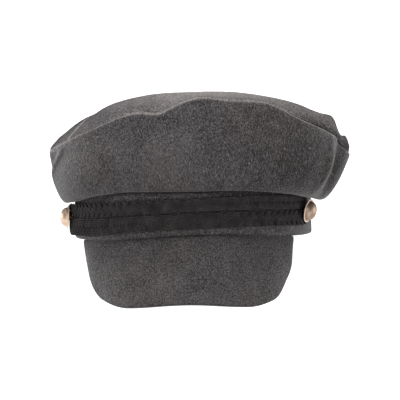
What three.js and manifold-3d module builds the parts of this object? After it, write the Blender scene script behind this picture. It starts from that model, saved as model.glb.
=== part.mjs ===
// Soft wool captain hat with a short visor, a doubled braid strap and two domed side buttons.
// Millimetres. The hat is shaped upright, band level and brow towards -Y, and then tipped
// into the pose in which it rests on its visor's two lower corners and the back of its band.
import * as THREE from 'three';
import { mergeVertices } from 'three/addons/utils/BufferGeometryUtils.js';
import Module from 'manifold-3d';

const wasm = await Module();
wasm.setup();

// Gap left between pieces that are sewn or pressed together
const seamGap = 0.3;

// Band: an oval ring of cloth round the head
const bandWidth = 172;
const bandLength = 203.4;
const bandHeight = 34;
const bandWall = 2.6;
const bandArch = 4.6;
const archCentreAngle = 6;
const archHalfAngle = 65;

// Crown: wall pieces that bulge over the band, and a top panel sewn to them along the rim
const crownWidth = 219.2;
const crownLength = 222;
const crownRise = 64;
const crownDome = 69.8;
const crownLean = 5.5;
const crownSetback = 6;
const crownWall = 2;
const crownBelly = 16;
const sideSeamAngle = 61.5;
const seamSwingAngle = 21;
const apexRight = 12;
const apexForward = 18;

// Visor: a stiff curved peak under the front of the band
const visorDepth = 54;
const visorWall = 2.8;
const visorBulge = 2.2;
const visorLeftAngle = 62.4;
const visorRightAngle = 57;

// Strap: one flat braid, closed on itself, that runs twice across the front
const braidWidth = 11.8;
const braidThickness = 2.2;
const strapSlit = 0.6;
const strapEyeLength = 7;
const strapLeftStandOff = 2;
const strapLiftShare = 0.12;
const strapEndReach = 0.72;

// Buttons that hold the strap's two ends
const buttonDiameter = 17;
const buttonDome = 4.7;
const buttonRim = 0.9;
const shankDiameter = 2.2;
const buttonLeftAngle = 77.3;
const buttonRightAngle = 66;
const buttonLeftDroop = -4;
const buttonRightDroop = 13;

// How far cloth is pressed flat where the hat rests
const bandPress = 0.8;
const visorPress = 0.3;

// Rim of the crown and fullness of the wall under it. Angles are in degrees from the front,
// positive to the right. reach is a share of the rim oval and rise of crownRise. out, sag and
// full, shares of crownBelly, and lift, a share of the wall's height, draw the wall's belly.
// steep and round shape the top panel inside the rim.
const crownStations = [
  { at: -180, reach: 1, rise: 0.39, out: 0.5, sag: 0.8, full: 0.25, lift: 0.3, steep: 0.62, round: 2.2 },
  { at: -140, reach: 1, rise: 0.41, out: 0.5, sag: 0.9, full: 0.2, lift: 0.25, steep: 0.72, round: 2.6 },
  { at: -90, reach: 1, rise: 0.452, out: 0.42, sag: 1.45, full: -0.03, lift: 0.13, steep: 0.93, round: 3.1 },
  { at: -61.5, reach: 1, rise: 0.54, out: 0.42, sag: 1.25, full: 0.12, lift: 0.2, steep: 0.97, round: 2.85 },
  { at: -48.5, reach: 1, rise: 0.635, out: 0.42, sag: 0.75, full: 0.3, lift: 0.3, steep: 0.93, round: 2.75 },
  { at: -38, reach: 1, rise: 0.72, out: 0.4, sag: 0.42, full: 0.4, lift: 0.38, steep: 0.85, round: 2.7 },
  { at: -27.5, reach: 1, rise: 0.82, out: 0.4, sag: 0.05, full: 0.45, lift: 0.42, steep: 0.85, round: 2.3 },
  { at: -20, reach: 1, rise: 0.856, out: 0.4, sag: 0, full: 0.45, lift: 0.45, steep: 0.9, round: 2 },
  { at: -12.5, reach: 0.995, rise: 0.845, out: 0.4, sag: 0, full: 0.45, lift: 0.45, steep: 0.9, round: 2 },
  { at: -6, reach: 1, rise: 0.935, out: 0.4, sag: 0, full: 0.45, lift: 0.45, steep: 1, round: 2 },
  { at: 2, reach: 1, rise: 1, out: 0.4, sag: 0, full: 0.45, lift: 0.45, steep: 1, round: 2 },
  { at: 12, reach: 1, rise: 0.975, out: 0.4, sag: 0.08, full: 0.45, lift: 0.45, steep: 1, round: 2 },
  { at: 28, reach: 1, rise: 0.927, out: 0.4, sag: 0.35, full: 0.42, lift: 0.42, steep: 0.85, round: 2.1 },
  { at: 41, reach: 1, rise: 0.765, out: 0.42, sag: 0.68, full: 0.35, lift: 0.36, steep: 0.65, round: 2.3 },
  { at: 48.5, reach: 1, rise: 0.665, out: 0.45, sag: 0.9, full: 0.3, lift: 0.3, steep: 0.5, round: 2.4 },
  { at: 61.5, reach: 1, rise: 0.515, out: 0.45, sag: 1.3, full: 0.08, lift: 0.22, steep: 0.42, round: 2.5 },
  { at: 75, reach: 0.985, rise: 0.42, out: 0.42, sag: 1.55, full: -0.2, lift: 0.16, steep: 0.4, round: 2.5 },
  { at: 90, reach: 1, rise: 0.352, out: 0.38, sag: 1.65, full: -0.35, lift: 0.15, steep: 0.4, round: 2.4 },
  { at: 140, reach: 1, rise: 0.38, out: 0.5, sag: 0.9, full: 0.2, lift: 0.25, steep: 0.58, round: 2.2 },
];

// Degrees of rim over which its waves even out, and their reach into the top panel as a share
const waveSpan = 44;
const rippleReach = 0.22;

// The left side seam hangs straight down from the rim, and then swings back by seamSwingAngle
// between these two shares of the wall's height. The cloth beside it follows over swingSpan degrees.
const swingTop = 0.96;
const swingFoot = 0.68;
const swingSpan = 70;

// Soft dents and creases of the crown's wall: at and wide in degrees, lean in degrees from
// foot to rim, up and tall as shares of the way from band to rim, proud of crownBelly. A fold
// with swings 1 follows the left side seam, and others have 0.
const wallFolds = [
  { at: -61.5, lean: 0, wide: 4, up: 0.86, tall: 0.2, proud: 0.09, swings: 1 },
  { at: -72, lean: 0, wide: 6, up: 0.92, tall: 0.2, proud: -0.08, swings: 1 },
  { at: 61.5, lean: 3, wide: 4, up: 0.75, tall: 0.4, proud: 0.16, swings: 0 },
  { at: 71.5, lean: 0, wide: 6, up: 0.85, tall: 0.35, proud: -0.43, swings: 0 },
  { at: -13, lean: 0, wide: 11, up: 0.82, tall: 0.12, proud: -0.14, swings: 0 },
  { at: 38, lean: 0, wide: 9, up: 0.86, tall: 0.13, proud: -0.16, swings: 0 },
  { at: 112, lean: 10, wide: 7, up: 0.7, tall: 0.35, proud: -0.16, swings: 0 },
  { at: 150, lean: -12, wide: 9, up: 0.65, tall: 0.35, proud: -0.14, swings: 0 },
  { at: -105, lean: -10, wide: 7, up: 0.7, tall: 0.35, proud: -0.16, swings: 0 },
  { at: -146, lean: 12, wide: 9, up: 0.65, tall: 0.35, proud: -0.14, swings: 0 },
];

// Folds of the top panel, each along a line in plan: x and y as shares of half the crown's
// width and length from the rim's centre, wide as a share of half the width, proud of crownRise.
const topFolds = [
  { fromX: -0.82, fromY: -0.56, toX: -0.7, toY: -0.3, wide: 0.03, proud: 0.012 },
  { fromX: -0.74, fromY: -0.25, toX: -0.6, toY: 0.1, wide: 0.06, proud: -0.03 },
  { fromX: 0.86, fromY: -0.5, toX: 0.9, toY: 0.1, wide: 0.06, proud: 0.05 },
  { fromX: 0.94, fromY: -0.35, toX: 0.95, toY: 0.35, wide: 0.032, proud: -0.13 },
  { fromX: -0.3, fromY: 0.45, toX: 0.35, toY: 0.4, wide: 0.3, proud: -0.09 },
  { fromX: 0.3, fromY: -0.15, toX: 0.65, toY: -0.2, wide: 0.25, proud: -0.01 },
];

// Visor cut from its middle (at 0) to its two ends (at -1 and 1): slope in degrees below level,
// depth as a share of visorDepth.
const visorSections = [
  { at: -1, slope: 86, depth: 0.05 },
  { at: -0.92, slope: 84, depth: 0.27 },
  { at: -0.8, slope: 80, depth: 0.535 },
  { at: -0.65, slope: 76.5, depth: 0.735 },
  { at: -0.48, slope: 70, depth: 0.855 },
  { at: -0.32, slope: 65, depth: 0.91 },
  { at: 0, slope: 60, depth: 0.932 },
  { at: 0.32, slope: 64, depth: 0.945 },
  { at: 0.48, slope: 68, depth: 0.91 },
  { at: 0.65, slope: 73, depth: 0.79 },
  { at: 0.8, slope: 78, depth: 0.57 },
  { at: 0.92, slope: 81, depth: 0.355 },
  { at: 1, slope: 86, depth: 0.05 },
];

// Strap from the left button (0) to the right one (1): height of the line between its two runs
// as a share of bandHeight, and the width of each run as a share of braidWidth.
const strapStations = [
  { at: 0, middle: 0.44, upper: 0.86, lower: 1.08 },
  { at: 0.2, middle: 0.47, upper: 0.88, lower: 1.1 },
  { at: 0.35, middle: 0.53, upper: 0.86, lower: 1.0 },
  { at: 0.56, middle: 0.59, upper: 0.8, lower: 0.98 },
  { at: 0.78, middle: 0.59, upper: 0.86, lower: 0.97 },
  { at: 1, middle: 0.545, upper: 0.84, lower: 0.98 },
];

// Mesh steps
const frontSteps = 28;
const backSteps = 36;
const wallSteps = 11;
const topSteps = 12;
const visorSteps = 32;
const visorRows = 5;
const strapSteps = 34;
const turnSteps = 7;
const buttonSides = 16;
const domeSteps = 5;

const radians = THREE.MathUtils.degToRad;
const lerp = THREE.MathUtils.lerp;

// Smooth curve through one column of a table of stations; period joins its ends
function column(stations, name, at, period = 0) {
  const count = stations.length;
  const wrapped = period ? at - period * Math.floor((at - stations[0].at) / period) : at;
  const place = (index) => {
    const turn = period ? Math.floor(index / count) : 0;
    const row = stations[period ? index - turn * count : THREE.MathUtils.clamp(index, 0, count - 1)];
    return [row.at + turn * period, row[name]];
  };
  let index = 0;
  while (index < count - (period ? 1 : 2) && wrapped >= place(index + 1)[0]) {
    index += 1;
  }
  const [before, start, end, after] = [-1, 0, 1, 2].map((step) => place(index + step));
  const slopeBetween = (a, b) => (b[0] > a[0] ? (b[1] - a[1]) / (b[0] - a[0]) : 0);
  const span = end[0] - start[0];
  const startSlope = slopeBetween(before, end) * span;
  const endSlope = slopeBetween(start, after) * span;
  const share = THREE.MathUtils.clamp((wrapped - start[0]) / span, 0, 1);
  const square = share * share;
  const cube = square * share;
  return (2 * cube - 3 * square + 1) * start[1] + (cube - 2 * square + share) * startSlope
    + (3 * square - 2 * cube) * end[1] + (cube - square) * endSlope;
}

// Point of the band's outer oval and its outward direction, at an angle from the front
function bandPoint(angle, height, outward = 0) {
  const turn = radians(angle);
  const halfWidth = bandWidth / 2;
  const halfLength = bandLength / 2;
  const point = new THREE.Vector3(halfWidth * Math.sin(turn), -halfLength * Math.cos(turn), height);
  return point.addScaledVector(bandOutward(angle), outward);
}

function bandOutward(angle) {
  const turn = radians(angle);
  return new THREE.Vector3(bandLength * Math.sin(turn), -bandWidth * Math.cos(turn), 0).normalize();
}

// Lower edge of the band, raised over the brow
function bandFoot(angle) {
  const wrapped = THREE.MathUtils.euclideanModulo(angle - archCentreAngle + 180, 360) - 180;
  const share = Math.min(1, Math.abs(wrapped) / archHalfAngle);
  return bandArch * Math.cos(share * Math.PI / 2) ** 2;
}

// Rim seam of the crown
function rimPoint(angle) {
  const turn = radians(angle);
  const reach = column(crownStations, 'reach', angle, 360);
  return new THREE.Vector3(
    crownLean + crownWidth / 2 * reach * Math.sin(turn),
    crownSetback - crownLength / 2 * reach * Math.cos(turn),
    bandHeight + crownRise * column(crownStations, 'rise', angle, 360),
  );
}

function foldBump(distance, wide) {
  return Math.exp(-((distance / wide) ** 2));
}

// Degrees that the left side seam has swung back at a share of the wall's height
function swingBack(share) {
  return seamSwingAngle * (1 - THREE.MathUtils.smoothstep(share, swingFoot, swingTop));
}

// Angle of the wall's cloth at a share of its height, from its angle at the rim
function swungAngle(angle, share) {
  const fromSeam = THREE.MathUtils.euclideanModulo(angle + sideSeamAngle + 180, 360) - 180;
  const aside = Math.min(1, Math.abs(fromSeam) / swingSpan);
  return angle - swingBack(share) * Math.cos(aside * Math.PI / 2) ** 2;
}

// Outer face of the crown's wall: share 0 at the band and 1 at the rim
function wallPoint(angle, share) {
  const seam = bandHeight + seamGap;
  const outward = bandOutward(angle);
  const [out, sag, full] = ['out', 'sag', 'full'].map(
    (name) => crownBelly * column(crownStations, name, angle, 360),
  );
  const lift = column(crownStations, 'lift', angle, 360);
  const foot = bandPoint(angle, seam);
  const rim = rimPoint(angle);
  const under = foot.clone().addScaledVector(outward, out).setZ(seam - sag);
  const over = rim.clone().addScaledVector(outward, full).setZ(lerp(seam, rim.z, lift));
  const curve = new THREE.CubicBezierCurve3(foot, under, over, rim);
  const point = curve.getPoint(share);
  const free = Math.sin(Math.PI * Math.min(1, share * 0.93)) ** 0.7;
  let proud = 0;
  for (const fold of wallFolds) {
    const crease = fold.at + fold.lean * (share - fold.up) - fold.swings * swingBack(share);
    const aside = THREE.MathUtils.euclideanModulo(angle - crease + 180, 360) - 180;
    proud += fold.proud * foldBump(aside, fold.wide) * foldBump(share - fold.up, fold.tall);
  }
  return point.addScaledVector(outward, crownBelly * proud * free);
}

// Height of the rim without its short waves, which fade out a little way into the top panel
function calmRimHeight(angle) {
  const around = [-2, -1, 0, 1, 2].map((step) => column(crownStations, 'rise', angle + step * waveSpan / 4, 360));
  return bandHeight + crownRise * around.reduce((sum, rise) => sum + rise / around.length, 0);
}

// Outer face of the top panel: share 0 at the rim and 1 at its highest point
function topPoint(angle, share) {
  const rim = rimPoint(angle);
  const apex = new THREE.Vector3(apexRight, -apexForward, bandHeight + crownDome);
  const steep = column(crownStations, 'steep', angle, 360);
  const round = column(crownStations, 'round', angle, 360);
  const radius = 1 - share;
  const climb = (1 - radius ** round) ** lerp(steep, 1, share);
  const calm = calmRimHeight(angle);
  const ripple = (rim.z - calm) * foldBump(share, rippleReach);
  const point = rim.clone().lerp(apex, share).setZ(lerp(calm, apex.z, climb) + ripple);
  const planX = (point.x - crownLean) / (crownWidth / 2);
  const planY = (point.y - crownSetback) / (crownLength / 2);
  const free = Math.min(1, share / 0.08);
  let proud = 0;
  for (const fold of topFolds) {
    const alongX = fold.toX - fold.fromX;
    const alongY = fold.toY - fold.fromY;
    const along = ((planX - fold.fromX) * alongX + (planY - fold.fromY) * alongY)
      / (alongX * alongX + alongY * alongY);
    const nearest = THREE.MathUtils.clamp(along, 0, 1);
    const aside = Math.hypot(
      planX - fold.fromX - nearest * alongX,
      planY - fold.fromY - nearest * alongY,
    );
    proud += fold.proud * foldBump(aside, fold.wide);
  }
  point.z += crownRise * proud * free;
  return point;
}

// Unit normal of a face given as a function of angle and share
function faceNormal(face, angle, share) {
  const step = 0.01;
  const low = Math.max(0, share - step);
  const high = Math.min(1, share + step);
  const across = face(angle + 0.5, share).sub(face(angle - 0.5, share));
  const along = face(angle, high).sub(face(angle, low));
  return across.cross(along).normalize();
}

// Inner end of the mitre between wall and top panel, a wall's thickness inside the rim
function rimMitre(angle) {
  const wallSide = faceNormal(wallPoint, angle, 0.99);
  const topSide = faceNormal(topPoint, angle, 0.02);
  const middle = wallSide.clone().add(topSide).normalize();
  const stretch = Math.min(1.6, 1 / Math.max(0.2, middle.dot(wallSide)));
  return rimPoint(angle).addScaledVector(middle, -crownWall * stretch);
}

// Degrees aside at which the wall is half a gap away from a side seam that starts at an angle
function gapAside(angle, share) {
  const step = 0.02;
  const low = Math.max(0, share - step);
  const high = Math.min(1, share + step);
  const here = swungAngle(angle, share);
  const along = wallPoint(swungAngle(angle, high), high).sub(wallPoint(swungAngle(angle, low), low));
  const across = wallPoint(here + 0.5, share).sub(wallPoint(here - 0.5, share));
  return seamGap / 2 / across.cross(along.normalize()).length();
}

// Section of the crown's wall: up its outer face and down its inner face. side is 1 or -1 at
// the start or end of a wall piece, where it stands half a gap off the side seam, and else 0.
function wallSection(angle, side) {
  const outer = [];
  const inner = [];
  const place = (share) => swungAngle(angle, share) + side * gapAside(angle, share);
  for (let step = 0; step <= wallSteps; step += 1) {
    const share = (step / wallSteps) ** 1.15;
    const face = wallPoint(place(share), share);
    const normal = faceNormal(wallPoint, place(share), share);
    outer.push(face);
    inner.push(face.clone().addScaledVector(normal, -crownWall));
  }
  const rim = rimPoint(place(1));
  const down = wallPoint(place(1), 0.97).sub(rim).setLength(seamGap / 2);
  inner[0] = bandPoint(place(0), bandHeight + seamGap, -crownWall);
  outer[wallSteps] = rim.clone().add(down);
  inner[wallSteps] = rimMitre(place(1)).add(down);
  return [...outer, ...inner.reverse()];
}

// Section of the top panel: in along its outer face and back along its inner face
function topSection(angle) {
  const outer = [];
  const inner = [];
  const rim = rimPoint(angle);
  const inwards = topPoint(angle, 0.03).sub(rim).setLength(seamGap / 2);
  for (let step = 0; step <= topSteps; step += 1) {
    const share = (step / topSteps) ** 1.5;
    const face = topPoint(angle, share);
    const normal = step < topSteps ? faceNormal(topPoint, angle, share) : new THREE.Vector3(0, 0, 1);
    outer.push(face);
    inner.push(face.clone().addScaledVector(normal, -crownWall));
  }
  outer[0] = rim.clone().add(inwards);
  inner[0] = rimMitre(angle).add(inwards);
  return [...outer, ...inner.reverse()];
}

function bandSection(angle) {
  const foot = bandFoot(angle);
  return [
    bandPoint(angle, foot),
    bandPoint(angle, bandHeight),
    bandPoint(angle, bandHeight, -bandWall),
    bandPoint(angle, foot, -bandWall),
  ];
}

// Section of the visor, from under the band's edge to its rounded free edge and back
function visorSection(at) {
  const angle = at * (at < 0 ? visorLeftAngle : visorRightAngle);
  const slope = radians(column(visorSections, 'slope', at));
  const depth = visorDepth * column(visorSections, 'depth', at);
  const outward = bandOutward(angle);
  const along = outward.clone().multiplyScalar(Math.cos(slope)).setZ(-Math.sin(slope));
  const normal = outward.clone().multiplyScalar(Math.sin(slope)).setZ(Math.cos(slope));
  const root = bandPoint(angle, bandFoot(angle) - seamGap);
  const rise = visorBulge * depth / visorDepth;
  const top = [];
  const under = [];
  for (let row = 0; row <= visorRows; row += 1) {
    const share = row / visorRows;
    const point = root.clone().addScaledVector(along, depth * share)
      .addScaledVector(normal, rise * Math.sin(Math.PI * share));
    top.push(point);
    under.push(point.clone().addScaledVector(normal, -visorWall));
  }
  under[0] = root.clone().addScaledVector(outward, -visorWall / Math.sin(slope));
  const nose = top[visorRows].clone().lerp(under[visorRows], 0.5)
    .addScaledVector(along, visorWall * 0.4);
  return [...top, nose, ...under.reverse(), root.clone().lerp(under[visorRows], 0.5)];
}

// Half the slit between the strap's runs, which opens to an eye round a button's tipped shank
function halfSlit(at, toShank) {
  const tilt = radians(Math.abs(at < 0.5 ? buttonLeftDroop : buttonRightDroop));
  const through = seamGap + strapLift(at) + braidThickness;
  const eye = shankDiameter / 2 + seamGap + through * Math.tan(tilt);
  return lerp(eye, strapSlit / 2, Math.min(1, toShank / strapEyeLength));
}

// Millimetres along the band for each degree round it
function bandPerDegree(angle) {
  const turn = radians(angle);
  return radians(1) * Math.hypot(bandWidth / 2 * Math.cos(turn), bandLength / 2 * Math.sin(turn));
}

// Slack of the strap off the band, which it has at the left button alone
function strapLift(at) {
  return strapLeftStandOff * Math.max(0, 1 - at / strapLiftShare) ** 2;
}

// Section of the strap across one of its runs, side 1 above the slit and -1 below it
function strapRunSection(at, side) {
  const angle = lerp(-buttonLeftAngle, buttonRightAngle, at);
  const middle = bandHeight * column(strapStations, 'middle', at);
  const width = braidWidth * column(strapStations, side > 0 ? 'upper' : 'lower', at);
  const shareToShank = Math.min(at, 1 - at);
  const toShank = shareToShank * (buttonLeftAngle + buttonRightAngle) * bandPerDegree(angle);
  const near = middle + side * halfSlit(at, toShank);
  const far = middle + side * width;
  return braidSection((share) => [angle, lerp(near, far, share)], seamGap + strapLift(at));
}

// Section of the strap where it turns round a button's shank, turn 0 below it and 1 above it
function strapTurnSection(end, turn) {
  const angle = end < 0 ? -buttonLeftAngle : buttonRightAngle;
  const at = end < 0 ? 0 : 1;
  const middle = bandHeight * column(strapStations, 'middle', at);
  const upper = braidWidth * column(strapStations, 'upper', at);
  const lower = braidWidth * column(strapStations, 'lower', at);
  const bend = Math.PI * turn;
  const inner = halfSlit(at, 0);
  const outer = lerp(lower, upper, turn);
  return braidSection((share) => {
    const radius = lerp(inner, outer, share);
    const reach = lerp(inner, outer, share * strapEndReach);
    return [
      angle + end * reach * Math.sin(bend) / bandPerDegree(angle),
      middle - radius * Math.cos(bend),
    ];
  }, seamGap + strapLift(at));
}

// Flat braid section with rounded edges on the band, place giving angle and height across it
function braidSection(place, offset) {
  const profile = [[0, 0.25], [0.1, 0], [0.5, 0], [0.9, 0], [1, 0.25], [1, 0.75],
    [0.9, 1], [0.5, 1], [0.1, 1], [0, 0.75]];
  return profile.map(([share, through]) => {
    const [angle, height] = place(share);
    return bandPoint(angle, height, offset + through * braidThickness);
  });
}

// One closed body through sections that are loops of equal length. A ring closes on its first
// section; otherwise both end sections are filled in, each a strip between its two sides.
function bodyThrough(sections, ring) {
  const positions = [];
  const add = (a, b, c) => {
    if (a.distanceToSquared(b) < 1e-9 || b.distanceToSquared(c) < 1e-9 || c.distanceToSquared(a) < 1e-9) {
      return;
    }
    positions.push(...a.toArray(), ...b.toArray(), ...c.toArray());
  };
  const count = sections[0].length;
  const last = ring ? sections.length : sections.length - 1;
  for (let index = 0; index < last; index += 1) {
    const here = sections[index];
    const next = sections[(index + 1) % sections.length];
    for (let side = 0; side < count; side += 1) {
      const other = (side + 1) % count;
      add(here[side], next[side], next[other]);
      add(here[side], next[other], here[other]);
    }
  }
  if (!ring) {
    for (const [loop, flip] of [[sections[0], false], [sections[sections.length - 1], true]]) {
      for (let low = 0, high = count - 1; high - low > 1; low += 1, high -= 1) {
        const [a, b, c, d] = [loop[low], loop[low + 1], loop[high - 1], loop[high]];
        const order = flip ? [a, d, c, b] : [a, b, c, d];
        add(order[0], order[1], order[2]);
        add(order[0], order[2], order[3]);
      }
    }
  }
  return facingOut(weld(positions));
}

function weld(positions) {
  const geometry = new THREE.BufferGeometry();
  geometry.setAttribute('position', new THREE.Float32BufferAttribute(positions, 3));
  return mergeVertices(geometry, 1e-5);
}

// Turns a closed body's triangles over if it is inside out
function facingOut(geometry) {
  const position = geometry.getAttribute('position');
  const index = geometry.getIndex().array;
  const [a, b, c] = [new THREE.Vector3(), new THREE.Vector3(), new THREE.Vector3()];
  let volume = 0;
  for (let corner = 0; corner < index.length; corner += 3) {
    a.fromBufferAttribute(position, index[corner]);
    b.fromBufferAttribute(position, index[corner + 1]);
    c.fromBufferAttribute(position, index[corner + 2]);
    volume += a.dot(b.cross(c));
  }
  if (volume < 0) {
    for (let corner = 0; corner < index.length; corner += 3) {
      [index[corner + 1], index[corner + 2]] = [index[corner + 2], index[corner + 1]];
    }
  }
  return geometry;
}

function toSolid(geometry) {
  return new wasm.Manifold(new wasm.Mesh({
    numProp: 3,
    vertProperties: new Float32Array(geometry.getAttribute('position').array),
    triVerts: new Uint32Array(geometry.getIndex().array),
  }));
}

function fromSolid(solid) {
  const mesh = solid.getMesh();
  const geometry = new THREE.BufferGeometry();
  geometry.setAttribute('position', new THREE.BufferAttribute(mesh.vertProperties, 3));
  geometry.setIndex(new THREE.BufferAttribute(mesh.triVerts, 1));
  return geometry;
}

const steps = (count, from, to) => Array.from({ length: count + 1 }, (_, step) => lerp(from, to, step / count));

// Angles at which the crown's sections stand: the front between the side seams, then the back
const frontAngles = steps(frontSteps, -sideSeamAngle, sideSeamAngle);
const backAngles = steps(backSteps, sideSeamAngle, 360 - sideSeamAngle);
const ringAngles = [...frontAngles, ...backAngles.slice(1, -1)];

// Sections of a wall piece between the two side seams
function wallSections(angles) {
  const last = angles.length - 1;
  return angles.map((angle, index) => {
    const side = index === 0 ? 1 : index === last ? -1 : 0;
    return wallSection(angle, side);
  });
}

function buildBand() {
  return bodyThrough(ringAngles.map(bandSection), true);
}

function buildCrownFront() {
  return bodyThrough(wallSections(frontAngles), false);
}

function buildCrownBack() {
  return bodyThrough(wallSections(backAngles), false);
}

function buildCrownTop() {
  return bodyThrough(ringAngles.map(topSection), true);
}

function buildVisor() {
  const places = steps(visorSteps, -1, 1).map((at) => Math.sign(at) * Math.abs(at) ** 0.85);
  return bodyThrough(places.map(visorSection), false);
}

function buildStrap() {
  const across = steps(strapSteps, 0, 1).map((at) => lerp(at, (1 - Math.cos(Math.PI * at)) / 2, 0.7));
  const turn = steps(turnSteps, 0, 1).slice(1, -1);
  return bodyThrough([
    ...across.map((at) => strapRunSection(at, -1)),
    ...turn.map((share) => strapTurnSection(1, share)),
    ...across.slice().reverse().map((at) => strapRunSection(at, 1)),
    ...turn.slice().reverse().map((share) => strapTurnSection(-1, share)),
  ], true);
}

// Domed button on a shank, its axis along +Y from the shank's foot. The shank is long enough
// for the tipped rim to clear the strap.
function buildButton(at, droop) {
  const radius = buttonDiameter / 2;
  const tilt = radians(Math.abs(droop));
  const stack = strapLift(at) + braidThickness + seamGap;
  const shankLength = (stack + radius * Math.sin(tilt)) / Math.cos(tilt);
  const domeRadius = radius - buttonRim;
  const profile = [
    new THREE.Vector2(0, 0),
    new THREE.Vector2(shankDiameter / 2, 0),
    new THREE.Vector2(shankDiameter / 2, shankLength),
    new THREE.Vector2(radius - buttonRim / 2, shankLength),
    new THREE.Vector2(radius, shankLength + buttonRim / 2),
    new THREE.Vector2(radius, shankLength + buttonRim),
  ];
  for (const share of steps(domeSteps, 0, 1)) {
    const bend = share * Math.PI / 2;
    const across = share < 1 ? domeRadius * Math.cos(bend) : 0;
    profile.push(new THREE.Vector2(across, shankLength + buttonRim + buttonDome * Math.sin(bend)));
  }
  const geometry = new THREE.LatheGeometry(profile, buttonSides);
  geometry.deleteAttribute('normal');
  geometry.deleteAttribute('uv');
  return facingOut(dropEmptyTriangles(mergeVertices(geometry, 1e-5)));
}

function dropEmptyTriangles(geometry) {
  const old = Array.from(geometry.getIndex().array);
  const kept = [];
  for (let corner = 0; corner < old.length; corner += 3) {
    const [a, b, c] = old.slice(corner, corner + 3);
    if (a !== b && b !== c && c !== a) {
      kept.push(a, b, c);
    }
  }
  geometry.setIndex(kept);
  return geometry;
}

// Tip of the hat, nose up, at which visor and band touch the ground together
function restingTip(band, visor) {
  const lowest = (geometry, tip) => {
    const position = geometry.getAttribute('position');
    let low = Infinity;
    for (let index = 0; index < position.count; index += 1) {
      low = Math.min(low, position.getZ(index) * Math.cos(tip) - position.getY(index) * Math.sin(tip));
    }
    return low;
  };
  let [low, high] = [0, Math.PI / 4];
  for (let round = 0; round < 40; round += 1) {
    const tip = (low + high) / 2;
    const visorHigher = lowest(visor, tip) + bandPress - visorPress > lowest(band, tip);
    [low, high] = visorHigher ? [low, tip] : [tip, high];
  }
  return { tip: low, ground: lowest(band, low) + bandPress };
}

// Cloth below the ground is pressed flat, as a clean cut
function pressFlat(geometry, tip, ground) {
  const reach = 2 * Math.max(bandLength, crownLength);
  const slab = new THREE.BoxGeometry(reach, reach, reach);
  slab.deleteAttribute('normal');
  slab.deleteAttribute('uv');
  slab.translate(0, 0, ground - reach / 2);
  slab.rotateX(tip);
  return fromSolid(toSolid(geometry).subtract(toSolid(mergeVertices(slab, 1e-5))));
}

const wool = { color: 0x54504f, roughness: 0.95, metalness: 0 };
const finishes = {
  crown: new THREE.MeshStandardMaterial(wool),
  band: new THREE.MeshStandardMaterial({ ...wool, color: 0x504c4b }),
  visor: new THREE.MeshStandardMaterial({ ...wool, color: 0x4e4a49 }),
  braid: new THREE.MeshStandardMaterial({ color: 0x242223, roughness: 0.7, metalness: 0 }),
  button: new THREE.MeshStandardMaterial({ color: 0xc89a6e, roughness: 0.25, metalness: 1 }),
};

const hat = new THREE.Group();

function addPiece(name, geometry, finish) {
  const mesh = new THREE.Mesh(geometry, finish.clone());
  mesh.name = name;
  hat.add(mesh);
  return mesh;
}

// Stands a button on the band, its axis tipped down by its droop
function addButton(name, angle, at, droop) {
  const outward = bandOutward(angle);
  const down = new THREE.Vector3(0, 0, -1);
  const axis = outward.clone().applyAxisAngle(outward.clone().cross(down), radians(droop));
  const height = bandHeight * column(strapStations, 'middle', at);
  const mesh = addPiece(name, buildButton(at, droop), finishes.button);
  mesh.position.copy(bandPoint(angle, height, seamGap));
  mesh.quaternion.setFromUnitVectors(new THREE.Vector3(0, 1, 0), axis);
}

const roundBand = buildBand();
const roundVisor = buildVisor();
const { tip, ground } = restingTip(roundBand, roundVisor);

addPiece('band', pressFlat(roundBand, tip, ground), finishes.band);
addPiece('crown_front', buildCrownFront(), finishes.crown);
addPiece('crown_back', buildCrownBack(), finishes.crown);
addPiece('crown_top', buildCrownTop(), finishes.crown);
addPiece('visor', pressFlat(roundVisor, tip, ground), finishes.visor);
addPiece('chin_strap', buildStrap(), finishes.braid);
addButton('button_left', -buttonLeftAngle, 0, buttonLeftDroop);
addButton('button_right', buttonRightAngle, 1, buttonRightDroop);

// The tipped hat stands on the ground, over the centre of the space it takes
hat.rotation.x = -tip;
const part = new THREE.Group();
part.add(hat);
part.updateMatrixWorld(true);
const extent = new THREE.Box3().setFromObject(hat, true);
const middle = extent.getCenter(new THREE.Vector3());
hat.position.set(-middle.x, -middle.y, -extent.min.z);

export default part;
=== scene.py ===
# Soft wool captain hat. The pieces are shaped in millimetres, in the hat's own upright frame
# with the band level and the brow towards -Y, and toRow tips them into the resting pose in metres.
import math

import bpy
import numpy as np
from mathutils import Matrix, Vector, noise


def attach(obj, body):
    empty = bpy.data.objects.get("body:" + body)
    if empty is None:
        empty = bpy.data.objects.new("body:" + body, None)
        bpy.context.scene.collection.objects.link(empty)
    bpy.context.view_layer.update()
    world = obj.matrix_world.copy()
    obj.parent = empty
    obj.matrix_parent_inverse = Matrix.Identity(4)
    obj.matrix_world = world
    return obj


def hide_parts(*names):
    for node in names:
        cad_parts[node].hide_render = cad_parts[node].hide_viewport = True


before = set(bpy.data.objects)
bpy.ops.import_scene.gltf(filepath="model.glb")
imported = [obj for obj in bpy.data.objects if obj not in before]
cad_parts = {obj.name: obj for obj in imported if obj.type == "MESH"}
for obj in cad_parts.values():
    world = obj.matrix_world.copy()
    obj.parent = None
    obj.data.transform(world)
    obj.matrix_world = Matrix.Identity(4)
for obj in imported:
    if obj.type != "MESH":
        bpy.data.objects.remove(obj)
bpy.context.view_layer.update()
print("frame loaded:", ", ".join(sorted(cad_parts)))


# Pose in which the hat rests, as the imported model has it
restPose = {
    "tip": 12.1089,  # degrees, visor up
    "shift": (-5.4193, 2.7695, 20.5337),
}

photoView = {
    "imageSize": 400,
    "millimetresPerPixel": 0.73,
    "distance": 1500,
    "elevation": 14.1014,
    "turn": 2.061,
    "roll": 1.6325,  # the photograph's left side is the lower one
    "target": (-0.3193, 7.9928, 44.8797),
}

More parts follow.
